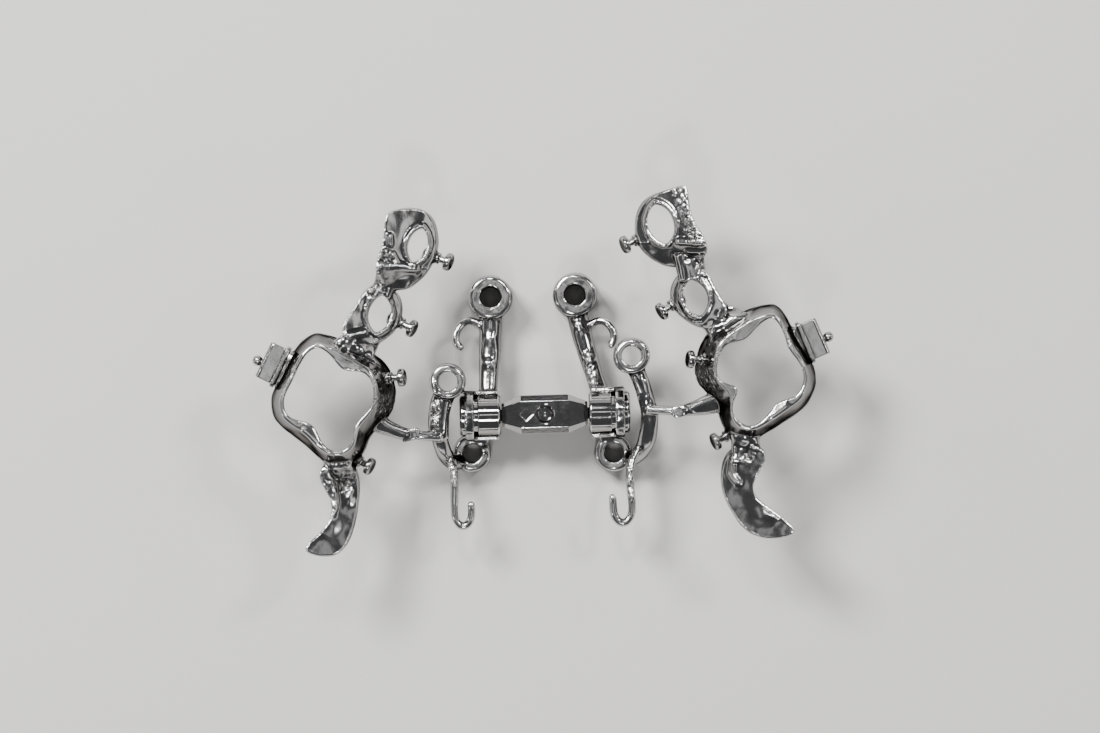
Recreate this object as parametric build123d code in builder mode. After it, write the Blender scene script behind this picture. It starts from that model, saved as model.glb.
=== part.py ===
from build123d import *

import os
from dataclasses import dataclass
from math import cos, radians, sin, tan

# A hybrid palatal expander: two printed metal halves on the teeth and a double-threaded screw between.
# Millimetres. X runs across the arch, +Y points to the front teeth and +Z to the chewing side.
# The part stands on its front and rear screw rings at Z = 0. Each half is drawn on the +X side,
# in (outward, forward, up) coordinates, and the left one is mirrored.

# Expansion screw, on an axis along X
SCREW_Y = -4.4
SCREW_Z = 5.5
SPINDLE_RADIUS = 0.7
SPINDLE_HALF_LENGTH = 8.4
SPINDLE_END_CHAMFER = 0.2
RUNNING_CLEARANCE = 0.03
DRIVER_HALF_LENGTH = 4.4
DRIVER_ACROSS = 3.9
DRIVER_CHAMFER = 0.6
DRIVER_TAPER_LENGTH = 1.95
DRIVER_TIP_ACROSS = 2.3
DRIVER_TIP_CHAMFER = 0.35
KEY_HOLE_RADIUS = 0.68
KEY_HOLE_DEPTH = 1.0
KEY_HOLE_RIM_RADIUS = 1.0
MARK_OFFSET = 1.9
MARK_RADIUS = 0.7
MARK_DEPTH = 0.2
END_GAP = 0.1
SLEEVE_RADIUS = 2.1
SLEEVE_LENGTH = 4.2
SLEEVE_GROOVE_START = 2.3
SLEEVE_GROOVE_WIDTH = 0.45
SLEEVE_GROOVE_DEPTH = 0.3
SLEEVE_CHAMFER = 0.2

# Seat of the sleeve in the anchor frame
SEAT_GAP = 0.02
CRADLE_START = 0.25
CRADLE_WALL = 0.4
CRADLE_LENGTH = 2.5
CRADLE_OPEN_HEIGHT = 0.2
COLLAR_WALL = 0.45
COLLAR_THICKNESS = 0.9
ARM_SEAT_OFFSET = 1.0
ARM_SEAT_ANGLE = 27.0
LINK_WIDTH = 2.0
LINK_SEAT_HEIGHT = 1.2
LINK_RING_HEIGHT = 1.6

# Screw rings
FRONT_RING_RADIUS = 2.25
FRONT_RING_BORE = 1.08
FRONT_RING_HEIGHT = 4.5
SIDE_RING_RADIUS = 1.85
SIDE_RING_BORE = 1.0
SIDE_RING_BOTTOM = 5.7
SIDE_RING_HEIGHT = 3.3
REAR_RING_RADIUS = 1.95
REAR_RING_BORE = 1.0
REAR_RING_HEIGHT = 3.0
RING_EDGE_FILLET = 0.4
RING_ACCESS = 4.0

# Traction hooks
HOOK_WIRE_RADIUS = 0.42

# Molar bands, with drops measured down from the rim
BAND_TOP = 14.5
BAND_HEIGHT = 5.3
BAND_BELLY_DROP = 2.7
BAND_BELLY_FLARE = 1.05
BAND_FOOT_FLARE = 0.85
BAND_INNER_FLARE = 0.9
BAND_WALL = 0.5
REST_THICKNESS = 0.55
STRUT_DROP = 2.9
ARM_ROOT_DROP = 4.1

# Premolar pads, webs and distal arms
PAD_DROP = 2.5
PAD_THICKNESS = 2.2
PAD_FOOT_FLARE = 0.3
PAD_BACK_SLOPE = 36.0
LIP_HEIGHT = 0.18
LIP_WIDTH = 0.4
WEB_THICKNESS = 1.7
ARM_THICKNESS = 1.4

# Lap between the tooth frame's arm and the anchor frame's slender bar
LAP_Z = 8.6
LAP_LENGTH = 2.0
LAP_WIDTH = 1.25
LAP_ARM_HEIGHT = 0.85
LAP_BAR_HEIGHT = 0.5
LAP_CORNER = 0.4
BAR_THICKNESS = 0.9
JUNCTION_DROP = 1.2

# Lingual buttons
BUTTON_LENGTH = 1.6
BUTTON_RISE = 16.0
BUTTON_DROP = 4.4
BUTTON_STEM_RADIUS = 0.36
BUTTON_HEAD_RADIUS = 0.9
BUTTON_HEAD_THICKNESS = 0.6
BUTTON_HEAD_FILLET = 0.25
BUTTON_BASE_RADIUS = 0.6
BUTTON_BASE_THICKNESS = 0.25
BUTTON_BOSS_DEPTH = 1.5

# Buccal tubes
TUBE_LENGTH = 3.8
TUBE_HEIGHT = 2.3
TUBE_DEPTH = 1.7
TUBE_CORNER = 0.4
TUBE_SLOT_HEIGHT = 0.75
TUBE_SLOT_DEPTH = 0.8
TUBE_BASE_MARGIN = 0.3
TUBE_BASE_THICKNESS = 0.35
TUBE_PAD_DEPTH = 1.8
TUBE_KNOB_RADIUS = 0.52
TUBE_KNOB_STEM_RADIUS = 0.35
TUBE_KNOB_REACH = 0.5
TUBE_KNOB_SETBACK = 0.4

# Slack that carries a cutting or joining solid past a face
OVERCUT = 0.5

# Places that follow from the sizes above
SLEEVE_START = DRIVER_HALF_LENGTH + END_GAP
SLEEVE_END = SLEEVE_START + SLEEVE_LENGTH
CRADLE_X = SLEEVE_START + CRADLE_START
SEAT_RADIUS = SLEEVE_RADIUS + SEAT_GAP
BAND_BOTTOM = BAND_TOP - BAND_HEIGHT
BAND_BELLY = BAND_TOP - BAND_BELLY_DROP
PAD_Z = BAND_TOP - PAD_DROP
STRUT_Z = BAND_TOP - STRUT_DROP
BUTTON_Z = BAND_TOP - BUTTON_DROP
SIDE_RING_MIDDLE = SIDE_RING_BOTTOM + SIDE_RING_HEIGHT / 2
JUNCTION_Z = LAP_Z - JUNCTION_DROP
ARM_SEAT = (
    CRADLE_X + ARM_SEAT_OFFSET,
    SCREW_Y + (SEAT_RADIUS + CRADLE_WALL / 2) * cos(radians(ARM_SEAT_ANGLE)),
    SCREW_Z - (SEAT_RADIUS + CRADLE_WALL / 2) * sin(radians(ARM_SEAT_ANGLE)),
)


@dataclass(frozen=True)
class Plate:
    """A sloping plate in plan: its outline, the place and height where its slope starts, and its window."""

    outline: tuple
    level_at: tuple
    level: float
    slope: float
    thickness: float
    window: tuple = None
    window_size: tuple = None
    window_lean: float = 0.0
    back_ridge: float = None


@dataclass(frozen=True)
class Half:
    """The layout of one half. Bars are stations of a point and a (width, height)."""

    side: str
    band_centre: tuple
    band_rim: tuple
    first_pad: Plate
    second_pad: Plate
    distal_arm: Plate
    pad_neck: tuple
    web: Plate
    distal_neck: tuple
    connecting_arm: tuple
    lap: tuple
    lap_turn: float
    buttons: dict
    tube: tuple
    tube_turn: float
    front_ring: tuple
    side_ring: tuple
    rear_ring: tuple
    front_arm: tuple
    side_arm: tuple
    rear_arm: tuple
    bar_root: tuple
    front_hook: tuple
    rear_hook: tuple


# Rim points run from the front outer corner round the inner side, each with the reach of its rest.
# A button has the place of its root and the angle by which it points back from the midline.
LEFT = Half(
    side="left",
    band_centre=(21.5, -2.3),
    band_rim=(
        (22.3, 3.3, 0.5), (20.8, 2.7, 1.0), (19.3, 1.8, 1.3), (17.5, 0.6, 0.6),
        (16.7, -1.7, 0.35), (17.35, -3.65, 0.35), (18.7, -5.2, 0.35), (19.2, -6.9, 0.35),
        (20.8, -7.9, 0.4), (22.2, -7.4, 0.5), (24.0, -5.6, 1.0), (26.1, -3.9, 0.45),
        (26.4, -2.2, 0.35), (25.6, -0.4, 0.35), (24.5, 1.7, 0.35), (23.4, 3.0, 0.4),
    ),
    first_pad=Plate(
        outline=(
            (14.9, 16.3), (13.2, 16.6), (11.5, 16.2), (10.6, 14.4), (10.8, 12.0),
            (12.0, 10.0), (14.2, 8.7), (16.0, 9.4), (16.4, 11.1), (15.6, 13.8),
        ),
        level_at=(12.25, 12.9), level=PAD_Z, slope=29.0, thickness=PAD_THICKNESS,
        window=(12.35, 13.0), window_size=(2.0, 3.7), window_lean=17.0, back_ridge=10.5,
    ),
    second_pad=Plate(
        outline=(
            (15.7, 8.9), (14.4, 7.2), (14.7, 5.2), (16.3, 3.6),
            (18.4, 3.2), (19.9, 4.6), (18.6, 7.0), (17.2, 8.8),
        ),
        level_at=(16.4, 6.1), level=PAD_Z, slope=32.0, thickness=PAD_THICKNESS,
        window=(16.4, 6.2), window_size=(2.3, 3.9), window_lean=12.0,
    ),
    distal_arm=Plate(
        outline=(
            (21.9, -8.9), (19.6, -9.0), (19.1, -12.3), (19.8, -15.4),
            (21.6, -17.9), (24.2, -17.2), (22.5, -15.2), (21.6, -12.8),
        ),
        level_at=(21.0, -13.0), level=PAD_Z, slope=24.0, thickness=ARM_THICKNESS,
    ),
    pad_neck=(((15.4, 10.2, STRUT_Z), (2.2, 1.7)), ((16.2, 7.9, STRUT_Z), (2.0, 1.7))),
    web=Plate(
        outline=(
            (16.4, 4.8), (16.9, 2.8), (18.0, 1.2), (20.0, 1.6),
            (21.3, 2.6), (20.4, 3.7), (19.3, 4.5), (17.9, 5.3),
        ),
        level_at=(17.4, 3.0), level=PAD_Z, slope=22.0, thickness=WEB_THICKNESS,
    ),
    distal_neck=(((20.8, -6.8, STRUT_Z), (3.2, 1.8)), ((21.0, -10.3, STRUT_Z - 0.2), (2.6, 1.3))),
    connecting_arm=(
        ((17.6, -4.3, BAND_TOP - ARM_ROOT_DROP), (2.2, 1.7)),
        ((15.6, -5.5, (BAND_TOP - ARM_ROOT_DROP + LAP_Z) / 2 + 0.3), (1.6, 1.2)),
        ((13.7, -6.15, LAP_Z + LAP_ARM_HEIGHT / 2), (1.2, 0.75)),
    ),
    lap=(13.7, -6.15), lap_turn=-14.0,
    buttons={
        "front": (10.45, 11.7, 22.0),
        "premolar": (14.25, 5.2, 28.0),
        "molar": (15.5, -0.3, 0.0),
        "distal": (18.9, -8.6, 28.0),
    },
    tube=(26.3, 1.0), tube_turn=27.0,
    front_ring=(5.3, 7.7), side_ring=(9.8, -0.8), rear_ring=(7.6, -8.3),
    front_arm=(
        ((5.3, 6.3, FRONT_RING_HEIGHT - 1.6), (2.3, 2.2)), ((5.5, 2.4, 3.5), (2.2, 1.7)),
        (ARM_SEAT, (1.9, 1.5)),
    ),
    side_arm=(
        ((10.1, -1.9, SIDE_RING_MIDDLE), (2.2, 2.0)), ((10.75, -4.2, JUNCTION_Z + 0.2), (2.2, 1.8)),
        ((10.75, -6.6, JUNCTION_Z - 0.2), (1.9, 1.6)),
    ),
    rear_arm=(
        ((10.75, -5.9, JUNCTION_Z - 0.1), (1.7, 1.6)), ((10.4, -8.0, 6.0), (1.6, 1.5)),
        ((9.4, -9.2, 3.6), (1.5, 1.5)), ((8.5, -8.8, REAR_RING_HEIGHT - 1.2), (1.5, 1.5)),
    ),
    bar_root=(10.6, -6.4),
    front_hook=((5.6, 3.6, 3.2), (6.4, 4.8, 3.4), (7.7, 5.3, 3.7), (8.8, 4.2, 4.0), (8.5, 2.6, 4.2)),
    rear_hook=(
        (10.1, -8.4, 5.6), (9.5, -9.9, 6.2), (9.4, -12.0, 6.5), (9.45, -14.0, 6.6), (9.2, -15.2, 6.6),
        (8.6, -15.65, 6.6), (8.0, -15.2, 6.6), (7.75, -14.4, 6.6), (7.75, -13.5, 6.7),
    ),
)

RIGHT = Half(
    side="right",
    band_centre=(21.6, -0.7),
    band_rim=(
        (22.8, 5.1, 0.5), (21.3, 4.7, 1.0), (19.8, 3.9, 1.3), (17.9, 2.5, 0.6),
        (17.2, 0.8, 0.35), (17.4, -1.5, 0.4), (18.5, -2.8, 1.0), (18.6, -4.3, 0.4),
        (19.2, -5.8, 0.35), (20.6, -6.4, 0.4), (22.2, -5.7, 0.5), (24.1, -4.5, 1.0),
        (25.6, -3.4, 0.5), (26.3, -1.9, 0.35), (26.0, 0.1, 0.35), (25.0, 1.7, 0.35), (24.2, 3.7, 0.4),
    ),
    first_pad=Plate(
        outline=(
            (14.5, 18.1), (12.2, 17.6), (10.5, 16.5), (9.8, 14.4), (10.2, 12.4),
            (12.0, 10.8), (15.0, 10.3), (16.6, 11.5), (15.6, 14.2), (14.9, 16.8),
        ),
        level_at=(12.0, 14.4), level=PAD_Z, slope=27.0, thickness=PAD_THICKNESS,
        window=(12.2, 14.5), window_size=(2.6, 4.3), window_lean=14.0, back_ridge=12.6,
    ),
    second_pad=Plate(
        outline=(
            (14.9, 9.6), (13.4, 8.0), (13.6, 6.0), (15.3, 4.5),
            (17.4, 4.1), (18.4, 5.3), (17.4, 7.7), (16.4, 9.5),
        ),
        level_at=(15.5, 6.9), level=PAD_Z, slope=32.0, thickness=PAD_THICKNESS,
        window=(15.5, 7.0), window_size=(2.5, 3.8), window_lean=14.0,
    ),
    distal_arm=Plate(
        outline=(
            (21.4, -8.4), (18.7, -8.6), (17.8, -11.9), (18.9, -14.9),
            (21.5, -17.2), (24.6, -16.7), (22.4, -14.4), (20.8, -12.2),
        ),
        level_at=(19.6, -12.0), level=PAD_Z, slope=24.0, thickness=ARM_THICKNESS,
    ),
    pad_neck=(((14.9, 11.5, STRUT_Z), (3.2, 1.7)), ((15.2, 8.7, STRUT_Z), (2.7, 1.7))),
    web=Plate(
        outline=(
            (15.8, 5.4), (16.5, 3.9), (17.5, 2.5), (19.4, 3.4),
            (20.7, 4.4), (19.9, 5.5), (18.8, 6.0), (17.3, 6.3),
        ),
        level_at=(16.9, 4.6), level=PAD_Z, slope=22.0, thickness=WEB_THICKNESS,
    ),
    distal_neck=(((20.2, -5.4, STRUT_Z), (3.4, 1.8)), ((20.0, -9.7, STRUT_Z - 0.1), (2.5, 1.3))),
    connecting_arm=(
        ((18.0, -3.4, BAND_TOP - ARM_ROOT_DROP), (2.7, 1.7)),
        ((16.0, -4.0, (BAND_TOP - ARM_ROOT_DROP + LAP_Z) / 2 + 0.3), (1.8, 1.2)),
        ((13.9, -4.4, LAP_Z + LAP_ARM_HEIGHT / 2), (1.2, 0.75)),
    ),
    lap=(13.9, -4.4), lap_turn=12.0,
    buttons={
        "front": (9.7, 12.95, 20.0),
        "premolar": (13.15, 6.3, 30.0),
        "molar": (16.0, 0.7, -4.0),
        "distal": (18.3, -7.1, 23.0),
    },
    tube=(26.24, 2.1), tube_turn=22.0,
    front_ring=(3.4, 7.7), side_ring=(9.0, 1.3), rear_ring=(7.0, -8.6),
    front_arm=(
        ((3.5, 6.3, FRONT_RING_HEIGHT - 1.6), (2.2, 2.2)), ((4.4, 2.2, 3.5), (2.0, 1.6)),
        (ARM_SEAT, (1.8, 1.5)),
    ),
    side_arm=(
        ((9.3, 0.1, SIDE_RING_MIDDLE), (1.8, 2.0)), ((9.95, -1.6, JUNCTION_Z + 0.2), (1.7, 1.7)),
        ((10.6, -4.4, JUNCTION_Z - 0.2), (1.7, 1.6)),
    ),
    rear_arm=(
        ((10.6, -3.7, JUNCTION_Z - 0.1), (1.7, 1.6)), ((10.55, -6.4, 6.3), (1.8, 1.5)),
        ((9.6, -8.7, 4.2), (1.6, 1.5)), ((8.1, -9.1, REAR_RING_HEIGHT - 1.2), (1.5, 1.5)),
    ),
    bar_root=(10.5, -4.2),
    front_hook=((4.2, 3.5, 3.2), (4.9, 4.6, 3.4), (6.1, 5.0, 3.7), (7.2, 4.0, 4.0), (7.05, 2.5, 4.2)),
    rear_hook=(
        (9.7, -7.9, 5.2), (8.7, -9.8, 6.0), (8.5, -11.6, 6.4), (8.65, -13.9, 6.6), (8.4, -15.2, 6.6),
        (7.7, -15.7, 6.6), (7.0, -15.2, 6.6), (6.75, -14.2, 6.6), (6.7, -13.1, 6.7),
    ),
)


def moved_from(centre, point, distance):
    """A plan point moved straight away from a centre."""
    spoke = (Vector(*point) - Vector(*centre)).normalized()
    return Vector(*point) + spoke * distance


def oval_bar(stations):
    """A bar of oval section lofted through stations, each a point and a (width, height)."""
    points = [Vector(*point) for point, size in stations]
    with BuildPart() as bar:
        for index, (point, (width, height)) in enumerate(stations):
            before = points[max(index - 1, 0)]
            after = points[min(index + 1, len(points) - 1)]
            run = after - before
            across = run.cross(Vector(0, 0, 1))
            with BuildSketch(Plane(origin=point, x_dir=across, z_dir=run)):
                Ellipse(width / 2, height / 2)
        loft()
    return bar.part


def hook_wire(points):
    """A round wire bent through points, with a rounded tip at its last point."""
    with BuildPart() as bent:
        with BuildLine() as path:
            Spline(*points)
        with BuildSketch(Plane(origin=path.line @ 0, z_dir=path.line % 0)):
            Circle(HOOK_WIRE_RADIUS)
        sweep()
        with Locations(path.line @ 1):
            Sphere(HOOK_WIRE_RADIUS)
    return bent.part


def eye(width, length, lean):
    """A face between two arcs that meet in points, turned by its lean from +Y."""
    front, back = (0, length / 2), (0, -length / 2)
    with BuildSketch() as face:
        with BuildLine():
            ThreePointArc(back, (width / 2, 0), front)
            ThreePointArc(front, (-width / 2, 0), back)
        make_face()
    return face.sketch.rotate(Axis.Z, lean)


def sloping_plate(plate):
    """A plate of free outline, rising outwards, with a lip round its window and a falling back."""
    count = len(plate.outline)
    middle = (sum(out for out, forward in plate.outline) / count, sum(y for out, y in plate.outline) / count)
    foot = [moved_from(middle, point, PAD_FOOT_FLARE) for point in plate.outline]
    tilt = radians(plate.slope)
    facing = Vector(-sin(tilt), 0, cos(tilt))
    top_face = Plane(origin=(*plate.level_at, plate.level), x_dir=(0, 1, 0), z_dir=facing)
    reach = max(abs(out - plate.level_at[0]) for out, forward in plate.outline) + plate.thickness
    with BuildPart() as shaped:
        for level, outline in ((-reach, foot), (reach, plate.outline)):
            with BuildSketch(Plane.XY.offset(plate.level + level)):
                with BuildLine():
                    Spline(*outline, periodic=True)
                make_face()
        loft()
        split(bisect_by=top_face, keep=Keep.BOTTOM)
        split(bisect_by=top_face.offset(-plate.thickness), keep=Keep.TOP)
        if plate.back_ridge is not None:
            back_facing = facing - Vector(0, tan(radians(PAD_BACK_SLOPE)), 0)
            ridge = (plate.level_at[0], plate.back_ridge, plate.level)
            split(bisect_by=Plane(origin=ridge, z_dir=back_facing), keep=Keep.BOTTOM)
        if plate.window is not None:
            out, forward = plate.window
            width, length = plate.window_size
            height = plate.level + (out - plate.level_at[0]) * tan(tilt)
            rim = Plane(origin=(out, forward, height), x_dir=(cos(tilt), 0, sin(tilt)), z_dir=facing)
            with BuildSketch(rim):
                add(eye(width / cos(tilt) + 2 * LIP_WIDTH, length + 2 * LIP_WIDTH, plate.window_lean))
            extrude(amount=LIP_HEIGHT, both=True)
            with BuildSketch(Plane.XY.offset(plate.level + reach)):
                with Locations(plate.window):
                    add(eye(width, length, plate.window_lean))
            extrude(amount=-2 * reach, mode=Mode.SUBTRACT)
    return shaped.part


def band_section(half, level, flare=0.0, inner_flare=0.0, rest_share=0.0):
    """A closed curve round the molar: its rim moved out, further on the inner side, less its rests."""
    centre = Vector(*half.band_centre)
    moved = []
    for out, forward, reach in half.band_rim:
        spoke = (Vector(out, forward) - centre).normalized()
        shift = flare + inner_flare * max(-spoke.X, 0) - rest_share * reach
        moved.append(Vector(out, forward) + spoke * shift)
    with BuildSketch(Plane.XY.offset(level)) as section:
        with BuildLine():
            Spline(*moved, periodic=True)
        make_face()
    return section.sketch


def band_wall(half):
    """The outer form of the molar band: narrow at the rim, wide at the belly."""
    with BuildPart() as wall:
        add(band_section(half, BAND_BOTTOM, BAND_FOOT_FLARE, BAND_INNER_FLARE))
        add(band_section(half, BAND_BELLY, BAND_BELLY_FLARE))
        add(band_section(half, BAND_TOP))
        loft()
    return wall.part


def molar_space(half):
    """The room for the molar: its crown, under the rests."""
    with BuildPart() as room:
        add(band_section(half, BAND_BOTTOM - OVERCUT, BAND_FOOT_FLARE - BAND_WALL, BAND_INNER_FLARE))
        add(band_section(half, BAND_BELLY, BAND_BELLY_FLARE - BAND_WALL))
        add(band_section(half, BAND_TOP - REST_THICKNESS, -BAND_WALL))
        loft()
    return room.part


def rest_opening(half):
    """The lobed opening that the rests leave over the molar."""
    with BuildPart() as opening:
        add(band_section(half, BAND_BELLY, rest_share=1.0))
        extrude(amount=BAND_BELLY_DROP + OVERCUT)
    return opening.part


def button_plane(half, name):
    """The plane of a button's seat, facing from the frame to the button's head."""
    out, forward, turn = half.buttons[name]
    level = BAND_BELLY if name == "molar" else BUTTON_Z
    turn = radians(turn)
    return Plane(origin=(out, forward, level), z_dir=(-cos(turn), -sin(turn), tan(radians(BUTTON_RISE))))


def tube_plane(half):
    """The plane of the buccal tube's seat, facing outwards, with its x axis along the arch."""
    turn = radians(half.tube_turn)
    origin = (*half.tube, BAND_BELLY)
    return Plane(origin=origin, x_dir=(-sin(turn), cos(turn), 0), z_dir=(cos(turn), sin(turn), 0))


def lap_plane(half):
    """The level face where the connecting arm lies on the slender bar."""
    turn = radians(half.lap_turn)
    return Plane(origin=(*half.lap, LAP_Z), x_dir=(cos(turn), sin(turn), 0), z_dir=(0, 0, 1))


def tooth_frame(half):
    """Premolar pads, molar band, distal arm and connecting arm, printed as one piece."""
    joined = [band_wall(half)]
    joined += [oval_bar(bar) for bar in (half.distal_neck, half.connecting_arm)]
    pads = [sloping_plate(plate) for plate in (half.first_pad, half.second_pad, half.distal_arm)]
    neck = oval_bar(half.pad_neck)
    web = sloping_plate(half.web)
    room = molar_space(half)
    opening = rest_opening(half)
    with BuildPart() as frame:
        add(neck)
        add(web)
        for pad in (half.first_pad, half.second_pad):
            with BuildSketch(Plane.XY.offset(BAND_TOP)):
                with Locations(pad.window):
                    add(eye(*pad.window_size, pad.window_lean))
            extrude(amount=-BAND_HEIGHT, mode=Mode.SUBTRACT)
        for piece in pads + joined:
            add(piece)
        for name in half.buttons:
            with BuildSketch(button_plane(half, name)):
                Circle(BUTTON_BASE_RADIUS)
            extrude(amount=-BUTTON_BOSS_DEPTH)
            with BuildSketch(button_plane(half, name)):
                Circle(BUTTON_HEAD_RADIUS)
            extrude(amount=BUTTON_LENGTH + OVERCUT, mode=Mode.SUBTRACT)
        with BuildSketch(tube_plane(half)):
            RectangleRounded(TUBE_LENGTH, TUBE_HEIGHT, TUBE_CORNER)
        extrude(amount=-TUBE_PAD_DEPTH)
        with BuildSketch(tube_plane(half)):
            Rectangle(TUBE_LENGTH + 2 * OVERCUT, TUBE_HEIGHT + 2 * OVERCUT)
        extrude(amount=TUBE_DEPTH, mode=Mode.SUBTRACT)
        with BuildSketch(lap_plane(half)):
            RectangleRounded(LAP_LENGTH, LAP_WIDTH, LAP_CORNER)
        extrude(amount=LAP_ARM_HEIGHT)
        with BuildSketch(lap_plane(half)):
            Rectangle(LAP_LENGTH + 2 * OVERCUT, LAP_WIDTH + 2 * OVERCUT)
        extrude(amount=-LAP_BAR_HEIGHT - BAR_THICKNESS, mode=Mode.SUBTRACT)
        add(room, mode=Mode.SUBTRACT)
        add(opening, mode=Mode.SUBTRACT)
        if half.side == "left":
            mirror(about=Plane.YZ, mode=Mode.REPLACE)
    return frame.part


def screw_ring(centre, bottom, height, radius):
    """The outer form of a screw ring, rounded at its upper edge."""
    with BuildPart() as ring:
        with BuildSketch(Plane.XY.offset(bottom)):
            with Locations(centre):
                Circle(radius)
        extrude(amount=height)
        fillet(ring.faces().sort_by(Axis.Z)[-1].edges(), RING_EDGE_FILLET)
    return ring.part


def anchor_frame(half):
    """Three screw rings, the seat of the sleeve, arms and hooks, printed as one piece."""
    rings = (
        (half.front_ring, 0.0, FRONT_RING_HEIGHT, FRONT_RING_RADIUS, FRONT_RING_BORE),
        (half.side_ring, SIDE_RING_BOTTOM, SIDE_RING_HEIGHT, SIDE_RING_RADIUS, SIDE_RING_BORE),
        (half.rear_ring, 0.0, REAR_RING_HEIGHT, REAR_RING_RADIUS, REAR_RING_BORE),
    )
    seat_bottom = (CRADLE_X + CRADLE_LENGTH / 2, SCREW_Y - SEAT_RADIUS / 2, SCREW_Z - SEAT_RADIUS)
    ring_middle = (*half.rear_ring, REAR_RING_HEIGHT / 2)
    link = ((seat_bottom, (LINK_WIDTH, LINK_SEAT_HEIGHT)), (ring_middle, (LINK_WIDTH, LINK_RING_HEIGHT)))
    bar_height = LAP_Z - LAP_BAR_HEIGHT / 2
    bar = (
        ((*half.bar_root, JUNCTION_Z + BAR_THICKNESS / 2), (BAR_THICKNESS, BAR_THICKNESS)),
        ((*half.lap, bar_height), (BAR_THICKNESS, BAR_THICKNESS)),
    )
    joined = [oval_bar(stations) for stations in (half.front_arm, half.side_arm, half.rear_arm, bar, link)]
    joined += [hook_wire(points) for points in (half.front_hook, half.rear_hook)]
    joined += [screw_ring(centre, bottom, height, radius) for centre, bottom, height, radius, bore in rings]
    with BuildPart() as frame:
        for piece in joined:
            add(piece)
        with BuildSketch(Plane.YZ.offset(CRADLE_X)):
            with Locations((SCREW_Y, SCREW_Z)):
                Circle(SEAT_RADIUS + CRADLE_WALL)
        extrude(amount=CRADLE_LENGTH)
        with BuildSketch(Plane.YZ.offset(CRADLE_X)):
            with Locations((SCREW_Y, SCREW_Z + CRADLE_OPEN_HEIGHT)):
                Rectangle(4 * SLEEVE_RADIUS, 2 * SLEEVE_RADIUS, align=(Align.CENTER, Align.MIN))
        extrude(amount=CRADLE_LENGTH, mode=Mode.SUBTRACT)
        with BuildSketch(Plane.YZ.offset(CRADLE_X + CRADLE_LENGTH)):
            with Locations((SCREW_Y, SCREW_Z)):
                Circle(SEAT_RADIUS + COLLAR_WALL)
        extrude(amount=COLLAR_THICKNESS)
        with BuildSketch(Plane.YZ):
            with Locations((SCREW_Y, SCREW_Z)):
                Circle(SEAT_RADIUS)
        seat_length = max(SLEEVE_END, CRADLE_X + CRADLE_LENGTH + COLLAR_THICKNESS) + OVERCUT
        extrude(amount=seat_length, mode=Mode.SUBTRACT)
        for centre, bottom, height, radius, bore in rings:
            with BuildSketch(Plane.XY.offset(bottom - OVERCUT)):
                with Locations(centre):
                    Circle(bore)
            extrude(amount=OVERCUT + height + RING_ACCESS, mode=Mode.SUBTRACT)
        with BuildSketch(lap_plane(half)):
            RectangleRounded(LAP_LENGTH, LAP_WIDTH, LAP_CORNER)
        extrude(amount=-LAP_BAR_HEIGHT)
        with BuildSketch(lap_plane(half)):
            Rectangle(LAP_LENGTH + 2 * OVERCUT, LAP_WIDTH + 2 * OVERCUT)
        extrude(amount=LAP_ARM_HEIGHT, mode=Mode.SUBTRACT)
        if half.side == "left":
            mirror(about=Plane.YZ, mode=Mode.REPLACE)
    return frame.part


def threaded_sleeve(half):
    """One nut of the expansion screw, a grooved sleeve with a through bore."""
    groove = SLEEVE_START + SLEEVE_GROOVE_START
    groove_end = groove + SLEEVE_GROOVE_WIDTH
    neck = SLEEVE_RADIUS - SLEEVE_GROOVE_DEPTH
    bore = SPINDLE_RADIUS + RUNNING_CLEARANCE
    with BuildPart() as sleeve:
        with BuildSketch(Plane(origin=(0, SCREW_Y, SCREW_Z), x_dir=(1, 0, 0), z_dir=(0, -1, 0))):
            with BuildLine():
                Polyline(
                    (SLEEVE_START, bore),
                    (SLEEVE_START, SLEEVE_RADIUS - SLEEVE_CHAMFER),
                    (SLEEVE_START + SLEEVE_CHAMFER, SLEEVE_RADIUS),
                    (groove, SLEEVE_RADIUS),
                    (groove, neck),
                    (groove_end, neck),
                    (groove_end, SLEEVE_RADIUS),
                    (SLEEVE_END - SLEEVE_CHAMFER, SLEEVE_RADIUS),
                    (SLEEVE_END, SLEEVE_RADIUS - SLEEVE_CHAMFER),
                    (SLEEVE_END, bore),
                    close=True,
                )
            make_face()
        revolve(axis=Axis((0, SCREW_Y, SCREW_Z), (1, 0, 0)))
        if half.side == "left":
            mirror(about=Plane.YZ, mode=Mode.REPLACE)
    return sleeve.part


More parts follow.
